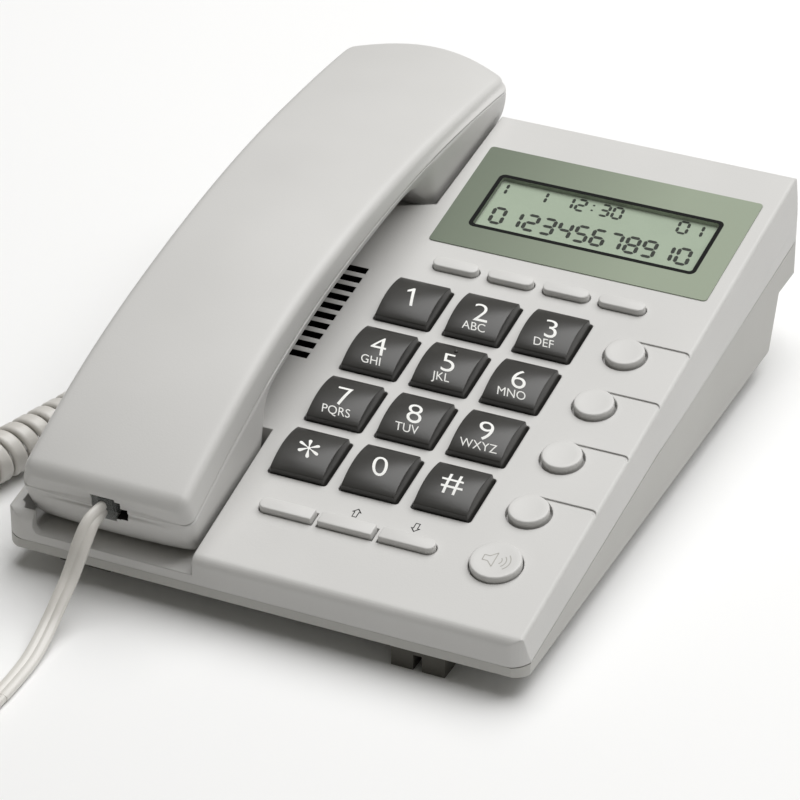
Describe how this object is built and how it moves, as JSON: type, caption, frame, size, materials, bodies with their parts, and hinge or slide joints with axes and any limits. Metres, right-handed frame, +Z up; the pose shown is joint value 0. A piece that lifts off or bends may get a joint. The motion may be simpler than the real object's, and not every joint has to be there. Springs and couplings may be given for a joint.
{
  "type": "corded landline telephone",
  "caption": "Wedge-shaped corded desk telephone with a grid keypad, function buttons, a display, and a handset lying on its cradle with a curly cord.",
  "frame": {"origin": "centre of the base's footprint on the desk, cord left out", "axes": "+Z up from the desk, +X to the right of the person using it, +Y away from them; the handset lies along Y on the left"},
  "size_m": [0.2037, 0.2948, 0.069],
  "materials": {
    "shell": "fine texture",
    "dark_key": "satin",
    "socket": "matte",
    "lens": "gloss",
    "lcd": "matte",
    "foot_rubber": "matte",
    "silicone": "matte",
    "board": "satin",
    "steel": "satin",
    "clear_plastic": "gloss",
    "cord_sheath": "satin"
  },
  "bodies": {
    "base": {"base_top_cover": "shell", "base_bottom_cover": "shell", "rubber_feet": "foot_rubber", "base_screws": "steel", "display_lens": "lens", "lcd_panel": "lcd", "lcd_holder": "socket", "main_board": "board", "keypad_mat": "silicone", "loudspeaker": "steel", "line_jack": "socket", "base_handset_jack": "socket", "hook_switch": "socket", "cord_front_lead": "cord_sheath", "cord_coil": "cord_sheath", "cord_rear_lead": "cord_sheath", "base_plug": "clear_plastic"},
    "handset": {"handset_back_shell": "shell", "handset_front_shell": "shell", "earpiece": "socket", "microphone": "steel", "handset_weight": "steel", "handset_jack": "clear_plastic", "handset_screws": "steel", "handset_plug": "clear_plastic"},
    "hook_plunger": {"hook_plunger": "shell"},
    "key_1": {"key_1": "dark_key"},
    "key_2": {"key_2": "dark_key"},
    "key_3": {"key_3": "dark_key"},
    "key_4": {"key_4": "dark_key"},
    "key_5": {"key_5": "dark_key"},
    "key_6": {"key_6": "dark_key"},
    "key_7": {"key_7": "dark_key"},
    "key_8": {"key_8": "dark_key"},
    "key_9": {"key_9": "dark_key"},
    "key_star": {"key_star": "dark_key"},
    "key_0": {"key_0": "dark_key"},
    "key_hash": {"key_hash": "dark_key"},
    "set_button": {"set_button": "shell"},
    "contrast_button": {"contrast_button": "shell"},
    "timer_button": {"timer_button": "shell"},
    "delete_button": {"delete_button": "shell"},
    "prefix_button": {"prefix_button": "shell"},
    "pause_button": {"pause_button": "shell"},
    "flash_button": {"flash_button": "shell"},
    "redial_button": {"redial_button": "shell"},
    "speaker_button": {"speaker_button": "shell"},
    "outgoing_button": {"outgoing_button": "shell"},
    "up_button": {"up_button": "shell"},
    "down_button": {"down_button": "shell"}
  },
  "joints": [
    {"name": "handset_lift", "type": "slide", "parent": "base", "child": "handset", "axis": [0, 0, 1], "range_m": [0, 0.09], "deforming": ["cord_front_lead"]},
    {"name": "hook_plunger_rise", "type": "slide", "parent": "base", "child": "hook_plunger", "axis": [0, -0.1736, 0.9848], "range_m": [0, 0.005]},
    {"name": "key_1_press", "type": "slide", "parent": "base", "child": "key_1", "axis": [0, 0.1736, -0.9848], "range_m": [0, 0.0015], "stiffness_N_per_m": 300},
    {"name": "key_2_press", "type": "slide", "parent": "base", "child": "key_2", "axis": [0, 0.1736, -0.9848], "range_m": [0, 0.0015], "stiffness_N_per_m": 300},
    {"name": "key_3_press", "type": "slide", "parent": "base", "child": "key_3", "axis": [0, 0.1736, -0.9848], "range_m": [0, 0.0015], "stiffness_N_per_m": 300},
    {"name": "key_4_press", "type": "slide", "parent": "base", "child": "key_4", "axis": [0, 0.1736, -0.9848], "range_m": [0, 0.0015], "stiffness_N_per_m": 300},
    {"name": "key_5_press", "type": "slide", "parent": "base", "child": "key_5", "axis": [0, 0.1736, -0.9848], "range_m": [0, 0.0015], "stiffness_N_per_m": 300},
    {"name": "key_6_press", "type": "slide", "parent": "base", "child": "key_6", "axis": [0, 0.1736, -0.9848], "range_m": [0, 0.0015], "stiffness_N_per_m": 300},
    {"name": "key_7_press", "type": "slide", "parent": "base", "child": "key_7", "axis": [0, 0.1736, -0.9848], "range_m": [0, 0.0015], "stiffness_N_per_m": 300},
    {"name": "key_8_press", "type": "slide", "parent": "base", "child": "key_8", "axis": [0, 0.1736, -0.9848], "range_m": [0, 0.0015], "stiffness_N_per_m": 300},
    {"name": "key_9_press", "type": "slide", "parent": "base", "child": "key_9", "axis": [0, 0.1736, -0.9848], "range_m": [0, 0.0015], "stiffness_N_per_m": 300},
    {"name": "key_star_press", "type": "slide", "parent": "base", "child": "key_star", "axis": [0, 0.1736, -0.9848], "range_m": [0, 0.0015], "stiffness_N_per_m": 300},
    {"name": "key_0_press", "type": "slide", "parent": "base", "child": "key_0", "axis": [0, 0.1736, -0.9848], "range_m": [0, 0.0015], "stiffness_N_per_m": 300},
    {"name": "key_hash_press", "type": "slide", "parent": "base", "child": "key_hash", "axis": [0, 0.1736, -0.9848], "range_m": [0, 0.0015], "stiffness_N_per_m": 300},
    {"name": "set_button_press", "type": "slide", "parent": "base", "child": "set_button", "axis": [0, 0.1736, -0.9848], "range_m": [0, 0.0015], "stiffness_N_per_m": 300},
    {"name": "contrast_button_press", "type": "slide", "parent": "base", "child": "contrast_button", "axis": [0, 0.1736, -0.9848], "range_m": [0, 0.0015], "stiffness_N_per_m": 300},
    {"name": "timer_button_press", "type": "slide", "parent": "base", "child": "timer_button", "axis": [0, 0.1736, -0.9848], "range_m": [0, 0.0015], "stiffness_N_per_m": 300},
    {"name": "delete_button_press", "type": "slide", "parent": "base", "child": "delete_button", "axis": [0, 0.1736, -0.9848], "range_m": [0, 0.0015], "stiffness_N_per_m": 300},
    {"name": "prefix_button_press", "type": "slide", "parent": "base", "child": "prefix_button", "axis": [0, 0.1736, -0.9848], "range_m": [0, 0.0015], "stiffness_N_per_m": 300},
    {"name": "pause_button_press", "type": "slide", "parent": "base", "child": "pause_button", "axis": [0, 0.1736, -0.9848], "range_m": [0, 0.0015], "stiffness_N_per_m": 300},
    {"name": "flash_button_press", "type": "slide", "parent": "base", "child": "flash_button", "axis": [0, 0.1736, -0.9848], "range_m": [0, 0.0015], "stiffness_N_per_m": 300},
    {"name": "redial_button_press", "type": "slide", "parent": "base", "child": "redial_button", "axis": [0, 0.1736, -0.9848], "range_m": [0, 0.0015], "stiffness_N_per_m": 300},
    {"name": "speaker_button_press", "type": "slide", "parent": "base", "child": "speaker_button", "axis": [0, 0.1736, -0.9848], "range_m": [0, 0.0015], "stiffness_N_per_m": 300},
    {"name": "outgoing_button_press", "type": "slide", "parent": "base", "child": "outgoing_button", "axis": [0, 0.1736, -0.9848], "range_m": [0, 0.0015], "stiffness_N_per_m": 300},
    {"name": "up_button_press", "type": "slide", "parent": "base", "child": "up_button", "axis": [0, 0.1736, -0.9848], "range_m": [0, 0.0015], "stiffness_N_per_m": 300},
    {"name": "down_button_press", "type": "slide", "parent": "base", "child": "down_button", "axis": [0, 0.1736, -0.9848], "range_m": [0, 0.0015], "stiffness_N_per_m": 300}
  ],
  "couplings": [
    {"joint": "hook_plunger_rise", "follows": "handset_lift", "ratio": 0.0555}
  ]
}
